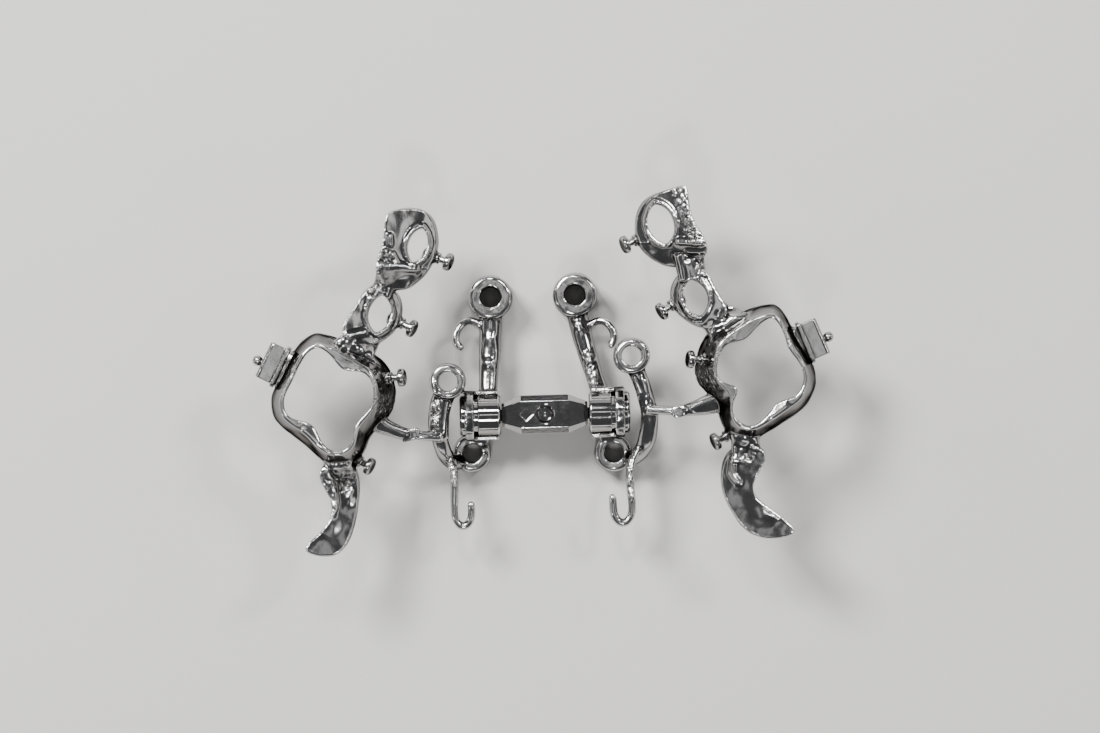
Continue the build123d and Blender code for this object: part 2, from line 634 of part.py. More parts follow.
def buccal_tube(half):
    """A rectangular tube on a base plate, with a small ball hook on its outer face."""
    seat = tube_plane(half)
    base_length = TUBE_LENGTH + 2 * TUBE_BASE_MARGIN
    base_height = TUBE_HEIGHT + 2 * TUBE_BASE_MARGIN
    outer_face = TUBE_BASE_THICKNESS + TUBE_DEPTH
    slot_middle = seat.origin + seat.z_dir * (TUBE_BASE_THICKNESS + TUBE_DEPTH / 2)
    knob = seat.origin + seat.z_dir * outer_face - seat.x_dir * TUBE_KNOB_SETBACK
    with BuildPart() as tube:
        with BuildSketch(seat):
            RectangleRounded(base_length, base_height, TUBE_CORNER)
        extrude(amount=TUBE_BASE_THICKNESS)
        with BuildSketch(seat.offset(TUBE_BASE_THICKNESS)):
            Rectangle(TUBE_LENGTH, TUBE_HEIGHT)
        extrude(amount=TUBE_DEPTH)
        outer = tube.faces().sort_by(Axis(seat.origin, seat.z_dir))[-1]
        fillet(outer.edges().filter_by(Axis((0, 0, 0), seat.x_dir)), TUBE_CORNER)
        with BuildSketch(Plane(origin=slot_middle, x_dir=seat.z_dir, z_dir=seat.x_dir)):
            Rectangle(TUBE_SLOT_DEPTH, TUBE_SLOT_HEIGHT)
        extrude(amount=TUBE_LENGTH, both=True, mode=Mode.SUBTRACT)
        with BuildSketch(Plane(origin=knob - seat.z_dir * TUBE_CORNER, z_dir=seat.z_dir)):
            Circle(TUBE_KNOB_STEM_RADIUS)
        extrude(amount=TUBE_CORNER + TUBE_KNOB_REACH)
        with Locations(knob + seat.z_dir * TUBE_KNOB_REACH):
            Sphere(TUBE_KNOB_RADIUS)
        if half.side == "left":
            mirror(about=Plane.YZ, mode=Mode.REPLACE)
    return tube.part


def lingual_button(half, name):
    """A button for elastics: base, stem and rounded head."""
    seat = button_plane(half, name)
    with BuildPart() as button:
        with BuildSketch(seat):
            Circle(BUTTON_BASE_RADIUS)
        extrude(amount=BUTTON_BASE_THICKNESS)
        with BuildSketch(seat):
            Circle(BUTTON_STEM_RADIUS)
        extrude(amount=BUTTON_LENGTH)
        with BuildSketch(seat.offset(BUTTON_LENGTH - BUTTON_HEAD_THICKNESS)):
            Circle(BUTTON_HEAD_RADIUS)
        extrude(amount=BUTTON_HEAD_THICKNESS)
        outer = button.faces().sort_by(Axis(seat.origin, seat.z_dir))[-1]
        fillet(outer.edges(), BUTTON_HEAD_FILLET)
        if half.side == "left":
            mirror(about=Plane.YZ, mode=Mode.REPLACE)
    return button.part


def threaded_spindle():
    """The round spindle that both sleeves run on. Its fine threads are a surface finish."""
    with BuildPart() as spindle:
        with BuildSketch(Plane.YZ):
            with Locations((SCREW_Y, SCREW_Z)):
                Circle(SPINDLE_RADIUS)
        extrude(amount=SPINDLE_HALF_LENGTH, both=True)
        chamfer(spindle.faces().filter_by(Axis.X).edges(), SPINDLE_END_CHAMFER)
    return spindle.part


def driver_section(x, across, corner):
    """A square with cut corners across the screw axis."""
    with BuildSketch(Plane(origin=(x, SCREW_Y, SCREW_Z), x_dir=(0, 1, 0), z_dir=(1, 0, 0))) as section:
        Rectangle(across, across)
        chamfer(section.vertices(), corner)
    return section.sketch


def square_driver():
    """The bar that a key turns: chamfered edges, tapered ends, a key hole and a mark on each flat."""
    shoulder = DRIVER_HALF_LENGTH - DRIVER_TAPER_LENGTH
    centre = Vector(0, SCREW_Y, SCREW_Z)
    with BuildPart() as driver:
        add(driver_section(-DRIVER_HALF_LENGTH, DRIVER_TIP_ACROSS, DRIVER_TIP_CHAMFER))
        add(driver_section(-shoulder, DRIVER_ACROSS, DRIVER_CHAMFER))
        add(driver_section(shoulder, DRIVER_ACROSS, DRIVER_CHAMFER))
        add(driver_section(DRIVER_HALF_LENGTH, DRIVER_TIP_ACROSS, DRIVER_TIP_CHAMFER))
        loft(ruled=True)
        for turn in range(0, 360, 90):
            facing = Vector(0, 0, 1).rotate(Axis.X, turn)
            flat = Plane(origin=centre + facing * (DRIVER_ACROSS / 2), x_dir=(1, 0, 0), z_dir=facing)
            with Locations(flat):
                CounterSinkHole(KEY_HOLE_RADIUS, KEY_HOLE_RIM_RADIUS, KEY_HOLE_DEPTH)
            with BuildSketch(flat):
                with Locations((-MARK_OFFSET, 0)):
                    RegularPolygon(MARK_RADIUS, 4)
            extrude(amount=-MARK_DEPTH, mode=Mode.SUBTRACT)
        with BuildSketch(Plane.YZ):
            with Locations((SCREW_Y, SCREW_Z)):
                Circle(SPINDLE_RADIUS + RUNNING_CLEARANCE)
        extrude(amount=DRIVER_HALF_LENGTH + OVERCUT, both=True, mode=Mode.SUBTRACT)
    return driver.part


def main():
    """Builds every piece and writes one file for each."""
    pieces = {"threaded_spindle": threaded_spindle(), "square_driver": square_driver()}
    for half in (LEFT, RIGHT):
        pieces[f"{half.side}_threaded_sleeve"] = threaded_sleeve(half)
        pieces[f"{half.side}_anchor_frame"] = anchor_frame(half)
        pieces[f"{half.side}_tooth_frame"] = tooth_frame(half)
        pieces[f"{half.side}_buccal_tube"] = buccal_tube(half)
        for name in half.buttons:
            pieces[f"{half.side}_{name}_button"] = lingual_button(half, name)
    os.makedirs("parts", exist_ok=True)
    for label, piece in pieces.items():
        piece.label = label
        export_step(piece, f"parts/{label}.step")


main()
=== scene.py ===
"""Studio scene of a tooth and bone carried palatal expander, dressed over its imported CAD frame."""

import logging
import math
from collections.abc import Iterable
from dataclasses import dataclass
from enum import Enum

import bmesh
import bpy
import numpy as np
from mathutils import Matrix, Vector, noise


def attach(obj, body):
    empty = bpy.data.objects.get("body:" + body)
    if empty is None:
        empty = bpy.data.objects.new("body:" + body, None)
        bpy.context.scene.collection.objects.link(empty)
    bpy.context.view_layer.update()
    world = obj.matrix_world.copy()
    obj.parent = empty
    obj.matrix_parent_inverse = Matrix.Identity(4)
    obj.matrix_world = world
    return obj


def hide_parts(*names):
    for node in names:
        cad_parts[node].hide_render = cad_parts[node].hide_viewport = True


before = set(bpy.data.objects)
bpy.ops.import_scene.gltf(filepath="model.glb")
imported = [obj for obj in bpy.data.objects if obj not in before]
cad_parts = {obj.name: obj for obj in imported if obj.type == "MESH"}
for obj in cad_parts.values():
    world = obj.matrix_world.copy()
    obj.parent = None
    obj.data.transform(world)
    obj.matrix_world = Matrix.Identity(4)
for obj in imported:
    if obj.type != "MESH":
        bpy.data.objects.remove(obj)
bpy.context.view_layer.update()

LOG = logging.getLogger("palatal_expander")
MM = 0.001


class Attribute(str, Enum):
    """Names of the surface values that the materials read."""

    # edge_shine carries a painted highlight on edges and painted shade in hollows and on walls
    EDGE = "edge_shine"
    ROUGH = "rough_patch"


class Slot(str, Enum):
    """Material slots of the record."""

    PRINTED = "printed_metal"
    SCREW = "screw_steel"
    STOCK = "stock_steel"


@dataclass(frozen=True)
class Trace:
    """A line or a single spot on the upper side of a piece, seen from above, in millimetres."""

    path: tuple[tuple[float, float], ...]
    radius: float

    def nearness(self, places: np.ndarray) -> np.ndarray:
        """Tells how close places lie to the line, in radii.

        Args:
            places: Rows of x, y and z.

        Returns:
            The distance of each place from the line, seen from above.
        """
        flat = places[:, :2]
        corners = np.array(self.path)
        nearest = np.linalg.norm(flat - corners[0], axis=1)
        for start, end in zip(corners, corners[1:]):
            run = end - start
            share = np.clip((flat - start) @ run / (run @ run), 0.0, 1.0)
            nearest = np.minimum(nearest, np.linalg.norm(flat - start - share[:, None] * run, axis=1))
        return nearest / self.radius


@dataclass(frozen=True)
class Bump(Trace):
    """A rounded rise, or a hollow where its height is below zero."""

    height: float
    falloff: float = 1.5

    def heights(self, places: np.ndarray) -> np.ndarray:
        """Gives how far each place rises."""
        return self.height * np.exp(-self.falloff * self.nearness(places) ** 2)


@dataclass(frozen=True)
class Patch(Trace):
    """A strip of rough, less polished metal that fades out past its radius."""

    core: float = 1.6
    fade: float = 1.3

    def roughness(self, places: np.ndarray) -> np.ndarray:
        """Gives how rough each place is, from 0 to 1."""
        return np.clip(self.core - self.fade * self.nearness(places), 0.0, 1.0)


@dataclass(frozen=True)
class Seam:
    """A rounded seam that fills a groove, along a line of x, y and z, in millimetres.

    It drops by a set amount at its radius, ends at its reach, told in radii, and fills no deeper
    than its depth.
    """

    path: tuple[tuple[float, float, float], ...]
    radius: float = 0.8
    drop: float = 0.5
    reach: float = 1.5
    depth: float = 1.6

    def levels(self, places: np.ndarray) -> np.ndarray:
        """Tells how high the seam stands over places in its groove.

        Args:
            places: Rows of x, y and z.

        Returns:
            The seam's height over each place, or the place's own height where it lies outside.
        """
        corners = np.array(self.path)
        highest = places[:, 2].copy()
        for start, end in zip(corners, corners[1:]):
            run = end - start
            share = np.clip((places - start)[:, :2] @ run[:2] / (run[:2] @ run[:2]), 0.0, 1.0)
            middle = start + share[:, None] * run
            away = np.linalg.norm((places - middle)[:, :2], axis=1) / self.radius
            inside = (away < self.reach) & (places[:, 2] > middle[:, 2] - self.depth)
            level = middle[:, 2] - self.drop * away**2
            highest = np.where(inside, np.maximum(highest, level), highest)
        return highest


@dataclass(frozen=True)
class Wave:
    """Unevenness of a length and a height, in millimetres."""

    length: float = 1.0
    height: float = 0.0

    def heights(self, mesh: bpy.types.Mesh) -> np.ndarray:
        """Gives how far each vertex of a mesh rises."""
        return self.height * np.array([noise.noise(vertex.co / self.length) for vertex in mesh.vertices])


class SharedGroups:
    """Shader node groups that several finishes share."""

    # Scale of the fine unevenness and of the patches of grain, as shares of the group's own scale
    FINE_SCALE = 3.4
    PATCH_SCALE = 0.35

    def __init__(self) -> None:
        """Builds every group once."""
        self.polish = self._polish_marks()
        self.grain = self._melted_grain()
        self.shine = self._edge_shine()

    @staticmethod
    def _group(
        name: str, inputs: dict[str, str], outputs: dict[str, str]
    ) -> tuple[bpy.types.ShaderNodeTree, bpy.types.Node, bpy.types.Node]:
        """Starts a shader group with named sockets.

        Args:
            name: The group's name.
            inputs: Socket types by input name.
            outputs: Socket types by output name.

        Returns:
            The group's tree, its input node and its output node.
        """
        tree = bpy.data.node_groups.new(name, "ShaderNodeTree")
        for side, sockets in (("INPUT", inputs), ("OUTPUT", outputs)):
            for label, kind in sockets.items():
                tree.interface.new_socket(name=label, in_out=side, socket_type=kind)
        return tree, tree.nodes.new("NodeGroupInput"), tree.nodes.new("NodeGroupOutput")

    def _polish_marks(self) -> bpy.types.ShaderNodeTree:
        """Hand polishing: broad smears of gloss and a faint unevenness.

        Returns:
            The group's tree.
        """
        tree, inlet, outlet = self._group(
            "polish_marks",
            {"Vector": "NodeSocketVector", "Scale": "NodeSocketFloat"},
            {"Smears": "NodeSocketFloat", "Height": "NodeSocketFloat"},
        )
        broad = tree.nodes.new("ShaderNodeTexNoise")
        broad.inputs["Detail"].default_value = 3.0
        broad.inputs["Distortion"].default_value = 0.6
        finer = tree.nodes.new("ShaderNodeMath")
        finer.operation = "MULTIPLY"
        finer.inputs[1].default_value = self.FINE_SCALE
        fine = tree.nodes.new("ShaderNodeTexNoise")
        fine.inputs["Detail"].default_value = 2.0
        spread = tree.nodes.new("ShaderNodeMapRange")
        spread.inputs["From Min"].default_value = 0.35
        spread.inputs["From Max"].default_value = 0.7
        link = tree.links.new
        link(inlet.outputs["Vector"], broad.inputs["Vector"])
        link(inlet.outputs["Scale"], broad.inputs["Scale"])
        link(inlet.outputs["Scale"], finer.inputs[0])
        link(inlet.outputs["Vector"], fine.inputs["Vector"])
        link(finer.outputs[0], fine.inputs["Scale"])
        link(broad.outputs["Fac"], spread.inputs["Value"])
        link(spread.outputs["Result"], outlet.inputs["Smears"])
        link(fine.outputs["Fac"], outlet.inputs["Height"])
        return tree

    def _melted_grain(self) -> bpy.types.ShaderNodeTree:
        """The pitted grain of printed metal that was not polished away.

        Returns:
            The group's tree.
        """
        tree, inlet, outlet = self._group(
            "melted_grain",
            {"Vector": "NodeSocketVector", "Scale": "NodeSocketFloat", "Mask": "NodeSocketFloat"},
            {"Amount": "NodeSocketFloat", "Height": "NodeSocketFloat"},
        )
        beads = tree.nodes.new("ShaderNodeTexVoronoi")
        beads.feature = "SMOOTH_F1"
        beads.inputs["Smoothness"].default_value = 0.3
        beads.inputs["Randomness"].default_value = 1.0
        patches = tree.nodes.new("ShaderNodeTexNoise")
        patches.inputs["Detail"].default_value = 4.0
        coarse = tree.nodes.new("ShaderNodeMath")
        coarse.operation = "MULTIPLY"
        coarse.inputs[1].default_value = self.PATCH_SCALE
        broken = tree.nodes.new("ShaderNodeMapRange")
        broken.inputs["From Min"].default_value = 0.42
        broken.inputs["From Max"].default_value = 0.62
        amount = tree.nodes.new("ShaderNodeMath")
        amount.operation = "MULTIPLY"
        height = tree.nodes.new("ShaderNodeMath")
        height.operation = "MULTIPLY"
        link = tree.links.new
        link(inlet.outputs["Vector"], beads.inputs["Vector"])
        link(inlet.outputs["Scale"], beads.inputs["Scale"])
        link(inlet.outputs["Vector"], patches.inputs["Vector"])
        link(inlet.outputs["Scale"], coarse.inputs[0])
        link(coarse.outputs[0], patches.inputs["Scale"])
        link(patches.outputs["Fac"], broken.inputs["Value"])
        link(broken.outputs["Result"], amount.inputs[0])
        link(inlet.outputs["Mask"], amount.inputs[1])
        link(beads.outputs["Distance"], height.inputs[0])
        link(amount.outputs[0], height.inputs[1])
        link(amount.outputs[0], outlet.inputs["Amount"])
        link(height.outputs[0], outlet.inputs["Height"])
        return tree

    def _edge_shine(self) -> bpy.types.ShaderNodeTree:
        """Painted highlight on edges, partly polished wear, and painted shade in hollows, from the
        surface's own bend.

        Returns:
            The group's tree.
        """
        tree, inlet, outlet = self._group(
            "edge_shine",
            {
                "Edge": "NodeSocketFloat",
                "Hollow Colour": "NodeSocketColor",
                "Face Colour": "NodeSocketColor",
                "Edge Colour": "NodeSocketColor",
            },
            {"Colour": "NodeSocketColor"},
        )
        # Painted shade: low edge values mix towards the dark hollow colour; painted highlight: high values
        # mix towards the bright edge colour
        hollow = tree.nodes.new("ShaderNodeMapRange")
        hollow.inputs["From Min"].default_value = 0.5
        hollow.inputs["From Max"].default_value = 0.1
        ridge = tree.nodes.new("ShaderNodeMapRange")
        ridge.inputs["From Min"].default_value = 0.58
        ridge.inputs["From Max"].default_value = 0.95
        darker = tree.nodes.new("ShaderNodeMix")
        darker.data_type = "RGBA"
        brighter = tree.nodes.new("ShaderNodeMix")
        brighter.data_type = "RGBA"
        link = tree.links.new
        link(inlet.outputs["Edge"], hollow.inputs["Value"])
        link(inlet.outputs["Edge"], ridge.inputs["Value"])
        link(hollow.outputs["Result"], darker.inputs["Factor"])
        link(inlet.outputs["Face Colour"], darker.inputs["A"])
        link(inlet.outputs["Hollow Colour"], darker.inputs["B"])
        link(ridge.outputs["Result"], brighter.inputs["Factor"])
        link(darker.outputs["Result"], brighter.inputs["A"])
        link(inlet.outputs["Edge Colour"], brighter.inputs["B"])
        link(brighter.outputs["Result"], outlet.inputs["Colour"])
        return tree


@dataclass(frozen=True)
class MetalFinish:
    """A metal finish: colours of hollows, faces and edges, gloss and fine relief; the hollow colour is
    painted shade and the edge colour a painted highlight, partly polished wear.
    """

    name: str
    # hollow: painted shade colour; edge: painted highlight colour, partly polished wear
    hollow: tuple[float, float, float]
    face: tuple[float, float, float]
    edge: tuple[float, float, float]
    roughness: float
    smear_roughness: float
    grain_roughness: float
    polish_scale: float
    polish_depth: float
    grain_scale: float
    grain_depth: float
    rim_tint: tuple[float, float, float] = (0.1, 0.1, 0.1)

    def material(self, groups: SharedGroups) -> bpy.types.Material:
        """Makes the finish's material.

        Args:
            groups: The shared shader groups.

        Returns:
            A new material.
        """
        made = bpy.data.materials.new(self.name)
        made.use_nodes = True
        tree = made.node_tree
        tree.nodes.clear()
        link = tree.links.new
        output = tree.nodes.new("ShaderNodeOutputMaterial")
        shader = tree.nodes.new("ShaderNodeBsdfPrincipled")
        shader.inputs["Metallic"].default_value = 1.0
        shader.inputs["Specular Tint"].default_value = (*self.rim_tint, 1.0)
        place = tree.nodes.new("ShaderNodeTexCoord")
        edge = tree.nodes.new("ShaderNodeAttribute")
        edge.attribute_name = Attribute.EDGE.value
        rough = tree.nodes.new("ShaderNodeAttribute")
        rough.attribute_name = Attribute.ROUGH.value
        shine = self._placed(tree, groups.shine)
        shine.inputs["Hollow Colour"].default_value = (*self.hollow, 1.0)
        shine.inputs["Face Colour"].default_value = (*self.face, 1.0)
        shine.inputs["Edge Colour"].default_value = (*self.edge, 1.0)
        polish = self._placed(tree, groups.polish)
        polish.inputs["Scale"].default_value = self.polish_scale
        grain = self._placed(tree, groups.grain)
        grain.inputs["Scale"].default_value = self.grain_scale
        link(place.outputs["Object"], polish.inputs["Vector"])
        link(place.outputs["Object"], grain.inputs["Vector"])
        link(edge.outputs["Fac"], shine.inputs["Edge"])
        link(rough.outputs["Fac"], grain.inputs["Mask"])
        link(shine.outputs["Colour"], shader.inputs["Base Color"])
        smeared = self._scaled(tree, polish.outputs["Smears"], self.smear_roughness, self.roughness)
        dulled = self._scaled(tree, grain.outputs["Amount"], self.grain_roughness, smeared.outputs[0])
        link(dulled.outputs[0], shader.inputs["Roughness"])
        even = tree.nodes.new("ShaderNodeBump")
        even.inputs["Distance"].default_value = self.polish_depth * MM
        pitted = tree.nodes.new("ShaderNodeBump")
        pitted.inputs["Distance"].default_value = self.grain_depth * MM
        link(polish.outputs["Height"], even.inputs["Height"])
        link(grain.outputs["Height"], pitted.inputs["Height"])
        link(even.outputs["Normal"], pitted.inputs["Normal"])
        link(pitted.outputs["Normal"], shader.inputs["Normal"])
        link(shader.outputs["BSDF"], output.inputs["Surface"])
        return made

    @staticmethod
    def _placed(tree: bpy.types.NodeTree, group: bpy.types.NodeTree) -> bpy.types.Node:
        """Places a shared group in a material.

        Args:
            tree: The material's tree.
            group: The shared group.

        Returns:
            The node that holds the group.
        """
        node = tree.nodes.new("ShaderNodeGroup")
        node.node_tree = group
        return node

    @staticmethod
    def _scaled(
        tree: bpy.types.NodeTree,
        value: bpy.types.NodeSocket,
        factor: float,
        base: float | bpy.types.NodeSocket,
    ) -> bpy.types.Node:
        """Adds a multiplied value to a base.

        Args:
            tree: The material's tree.
            value: The socket to multiply.
            factor: What it is multiplied by.
            base: A number or a socket to add to.

        Returns:
            The node that holds the sum.
        """
        node = tree.nodes.new("ShaderNodeMath")
        node.operation = "MULTIPLY_ADD"
        tree.links.new(value, node.inputs[0])
        node.inputs[1].default_value = factor
        if isinstance(base, float):
            node.inputs[2].default_value = base
        else:
            tree.links.new(base, node.inputs[2])
        return node


# Hollow colours are painted shade in hollows and on walls; edge colours are a painted highlight on edges,
# on printed pieces partly polished wear
COBALT_CHROME = MetalFinish(
    name="polished_cobalt_chrome",
    hollow=(0.06, 0.058, 0.057),
    face=(0.36, 0.352, 0.348),
    edge=(0.9, 0.89, 0.88),
    roughness=0.11,
    smear_roughness=0.1,
    grain_roughness=0.1,
    polish_scale=300.0,
    polish_depth=0.016,
    grain_scale=3600.0,
    grain_depth=0.06,
)
TURNED_STEEL = MetalFinish(
    name="turned_screw_steel",
    hollow=(0.12, 0.115, 0.11),
    face=(0.42, 0.41, 0.40),
    edge=(0.86, 0.85, 0.84),
    roughness=0.06,
    smear_roughness=0.04,
    grain_roughness=0.2,
    polish_scale=900.0,
    polish_depth=0.003,
    grain_scale=6000.0,
    grain_depth=0.05,
)
STOCK_STEEL = MetalFinish(
    name="stock_attachment_steel",
    hollow=(0.10, 0.098, 0.096),
    face=(0.40, 0.395, 0.39),
    edge=(0.84, 0.83, 0.82),
    roughness=0.1,
    smear_roughness=0.1,
    grain_roughness=0.25,
    polish_scale=1100.0,
    polish_depth=0.008,
    grain_scale=5200.0,
    grain_depth=0.08,
)


class MetalSkin:
    """A soft-edged copy of a CAD node, sculpted in millimetres and dressed as metal."""

    MERGE_DISTANCE = 0.0005
    # Faces that count as one flat, edges that get rounded and edges that are shaded smooth
    FLAT_ANGLE = math.radians(0.5)
    ROUNDED_ANGLE = math.radians(24)
    SMOOTH_ANGLE = math.radians(32)
    # Smoothing: first passes, then rounds that shrink and swell the skin, and passes over the seams
    FIRST_PASSES = 2
    SHRINK = 0.5
    SWELL = -0.52
    SEAM_PASSES = 12
    # How soon a sloping place counts as the upper side, and the share of grain that walls keep
    UPPER_GAIN = 1.6
    WALL_GRAIN = 0.3
    # Values of the edge attribute, the bevelled edges' one a painted highlight, and how much painted shade
    # darkens walls that face sideways or down
    PLAIN_FACE = 0.5
    PAINTED_EDGE_HIGHLIGHT = 0.9
    FLANK_GAIN = 2.2
    FLANK_PAINTED_SHADE = 0.4

    def __init__(self, node: str) -> None:
        """Copies and merges the node's mesh.

        Args:
            node: The CAD node's name.
        """
        self.node = node
        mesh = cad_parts[node].data.copy()
        mesh.name = f"{node}_finished"
        mesh.materials.clear()
        custom = mesh.attributes.get("custom_normal")
        if custom is not None:
            mesh.attributes.remove(custom)
        shape = bmesh.new()
        shape.from_mesh(mesh)
        bmesh.ops.scale(shape, vec=Vector((1 / MM,) * 3), verts=shape.verts)
        bmesh.ops.remove_doubles(shape, verts=shape.verts, dist=self.MERGE_DISTANCE)
        shape.to_mesh(mesh)
        shape.free()
        self.piece = bpy.data.objects.new(f"{node}_finished", mesh)
        bpy.context.scene.collection.objects.link(self.piece)

    def remesh(self, voxel: float, passes: int) -> None:
        """Melts the node into an even skin and rounds its edges.

        Args:
            voxel: The size of the skin's faces.
            passes: How often the skin is smoothed.
        """
        melt = self.piece.modifiers.new("melt", "REMESH")
        melt.mode = "VOXEL"
        melt.voxel_size = voxel
        solid = self.piece.evaluated_get(bpy.context.evaluated_depsgraph_get())
        mesh = bpy.data.meshes.new_from_object(solid)
        self.piece.modifiers.clear()
        old, self.piece.data = self.piece.data, mesh
        bpy.data.meshes.remove(old)
        mesh.name = self.piece.name
        shape = bmesh.new()
        shape.from_mesh(mesh)
        self._smooth(shape, shape.verts, self.FIRST_PASSES)
        for _ in range(passes):
            self._smooth(shape, shape.verts, 1)
            self._smooth(shape, shape.verts, 1, self.SWELL)
        shape.to_mesh(mesh)
        shape.free()
        mesh.shade_smooth()

    @staticmethod
    def _smooth(
        shape: bmesh.types.BMesh, verts: Iterable[bmesh.types.BMVert], passes: int, factor: float = SHRINK
    ) -> None:
        """Smooths vertices a number of times.

        Args:
            shape: The mesh.
            verts: Its vertices that are smoothed.
            passes: How often they are smoothed.
            factor: How far they move towards their neighbours.
        """
        for _ in range(passes):
            bmesh.ops.smooth_vert(
                shape, verts=verts, factor=factor, use_axis_x=True, use_axis_y=True, use_axis_z=True
            )

    def crisp(self, width: float) -> None:
        """Rounds the sharp edges of a machined node a little and marks them for a painted highlight.

        Args:
            width: The width of the rounded edges.
        """
        mesh = self.piece.data
        shape = bmesh.new()
        shape.from_mesh(mesh)
        bmesh.ops.dissolve_limit(
            shape, angle_limit=self.FLAT_ANGLE, verts=shape.verts, edges=shape.edges, delimit=set()
        )
        solid = [edge for edge in shape.edges if edge.is_manifold]
        sharp = [edge for edge in solid if edge.calc_face_angle(0.0) > self.ROUNDED_ANGLE]
        rounded = bmesh.ops.bevel(
            shape,
            geom=sharp,
            offset=width,
            offset_type="OFFSET",
            segments=2,
            profile=0.5,
            affect="EDGES",
            clamp_overlap=True,
            material=-1,
        )
        shape.faces.index_update()
        bevelled = {face.index for face in rounded["faces"]}
        for edge in shape.edges:
            alike = len({face.index in bevelled for face in edge.link_faces}) == 1
            edge.smooth = alike and edge.calc_face_angle(0.0) < self.SMOOTH_ANGLE
        shape.to_mesh(mesh)
        shape.free()
        # The bevelled faces get a high edge value, which paints a highlight on them
        for name, plain, full in (
            (Attribute.EDGE, self.PLAIN_FACE, self.PAINTED_EDGE_HIGHLIGHT),
            (Attribute.ROUGH, 0.0, 0.0),
        ):
            layer = mesh.attributes.new(name.value, "FLOAT", "CORNER")
            for face in mesh.polygons:
                for corner in face.loop_indices:
                    layer.data[corner].value = full if face.index in bevelled else plain

    def fill(self, seams: tuple[Seam, ...]) -> None:
        """Fills grooves in the upper side with rounded seams.

        Args:
            seams: The seams.
        """
        if not seams:
            return
        mesh = self.piece.data
        places, normals = self._surface()
        level = np.max([seam.levels(places) for seam in seams], axis=0)
        moved = (level > places[:, 2]) & (normals[:, 2] > 0.0)
        shape = bmesh.new()
        shape.from_mesh(mesh)
        shape.verts.ensure_lookup_table()
        soft = set()
        for index in np.flatnonzero(moved):
            vertex = shape.verts[int(index)]
            vertex.co.z = level[index]
            soft.update(corner for face in vertex.link_faces for corner in face.verts)
        soft.update([corner for vertex in soft for face in vertex.link_faces for corner in face.verts])
        self._smooth(shape, list(soft), self.SEAM_PASSES)
        shape.to_mesh(mesh)
        shape.free()
        mesh.shade_smooth()

    def sculpt(
        self,
        lumps: tuple[Wave, ...],
        bumps: tuple[Bump, ...] = (),
        grain: Wave = Wave(),
        patches: tuple[Patch, ...] = (),
    ) -> None:
        """Adds hand-finished unevenness, single rises and grain along the surface.

        Args:
            lumps: The unevenness of the whole piece.
            bumps: Single rises and hollows.
            grain: The unevenness of rough metal.
            patches: Places of rough metal.
        """
        mesh = self.piece.data
        places, normals = self._surface()
        upper = np.clip(self.UPPER_GAIN * normals[:, 2], 0.0, 1.0)
        rough = self._roughness(places, patches) * (self.WALL_GRAIN + (1.0 - self.WALL_GRAIN) * upper)
        lift = sum(wave.heights(mesh) for wave in lumps) + grain.heights(mesh) * rough
        for bump in bumps:
            lift += upper * bump.heights(places)
        lowest = places[:, 2].min()
        raised = places + normals * lift[:, None]
        raised[:, 2] = np.maximum(raised[:, 2], lowest)
        mesh.vertices.foreach_set("co", raised.ravel())
        mesh.update()

    @staticmethod
    def _roughness(places: np.ndarray, patches: tuple[Patch, ...]) -> np.ndarray:
        """Tells how rough the metal is.

        Args:
            places: Rows of x, y and z.
            patches: Places of rough metal.

        Returns:
            A value from 0 to 1 for each place.
        """
        rough = np.zeros(len(places))
        for patch in patches:
            rough = np.maximum(rough, patch.roughness(places))
        return rough

    def _surface(self) -> tuple[np.ndarray, np.ndarray]:
        """Reads the skin's vertices.

        Returns:
            Their places and their normals, as rows of x, y and z.
        """
        mesh = self.piece.data
        places, normals = np.zeros(len(mesh.vertices) * 3), np.zeros(len(mesh.vertices) * 3)
        mesh.vertices.foreach_get("co", places)
        mesh.vertex_normals.foreach_get("vector", normals)
        return places.reshape(-1, 3), normals.reshape(-1, 3)

    def mark(self, reach: int, sharpness: float, patches: tuple[Patch, ...]) -> None:
        """Writes the surface values that the finish reads: painted highlight and painted shade, and rough
        patches.

        Args:
            reach: Smoothing passes that tell a ridge from a face.
            sharpness: The bend, in millimetres, that counts as a full edge.
            patches: Places of rough metal.
        """
        mesh = self.piece.data
        places, normals = self._surface()
        shape = bmesh.new()
        shape.from_mesh(mesh)
        self._smooth(shape, shape.verts, reach)
        softened = np.array([vertex.co for vertex in shape.verts])
        shape.free()
        # Painted highlight on ridges and painted shade in hollows, from the bend
        bend = ((places - softened) * normals).sum(1) / sharpness
        # Painted shade: walls that face sideways or down are darkened
        flank = np.clip(1.0 - self.FLANK_GAIN * normals[:, 2], 0.0, 1.0)
        edge = np.clip(self.PLAIN_FACE * (1.0 + bend) - self.FLANK_PAINTED_SHADE * flank, 0.0, 1.0)
        rough = self._roughness(places, patches)
        for name, values in ((Attribute.EDGE, edge), (Attribute.ROUGH, rough)):
            layer = mesh.attributes.new(name.value, "FLOAT", "POINT")
            layer.data.foreach_set("value", values.astype(np.float32))

    def dress(self, body: str, material: bpy.types.Material) -> bpy.types.Object:
        """Brings the skin to metres, hides the node and rides on its body.

        Args:
            body: The CAD body that the piece moves with.
            material: The piece's material.

        Returns:
            The finished piece.
        """
        mesh = self.piece.data
        mesh.transform(Matrix.Scale(MM, 4))
        mesh.materials.clear()
        mesh.materials.append(material)
        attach(self.piece, body)
        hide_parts(self.node)
        LOG.info("%s: %d faces on %s", self.piece.name, len(mesh.polygons), body)
        return self.piece


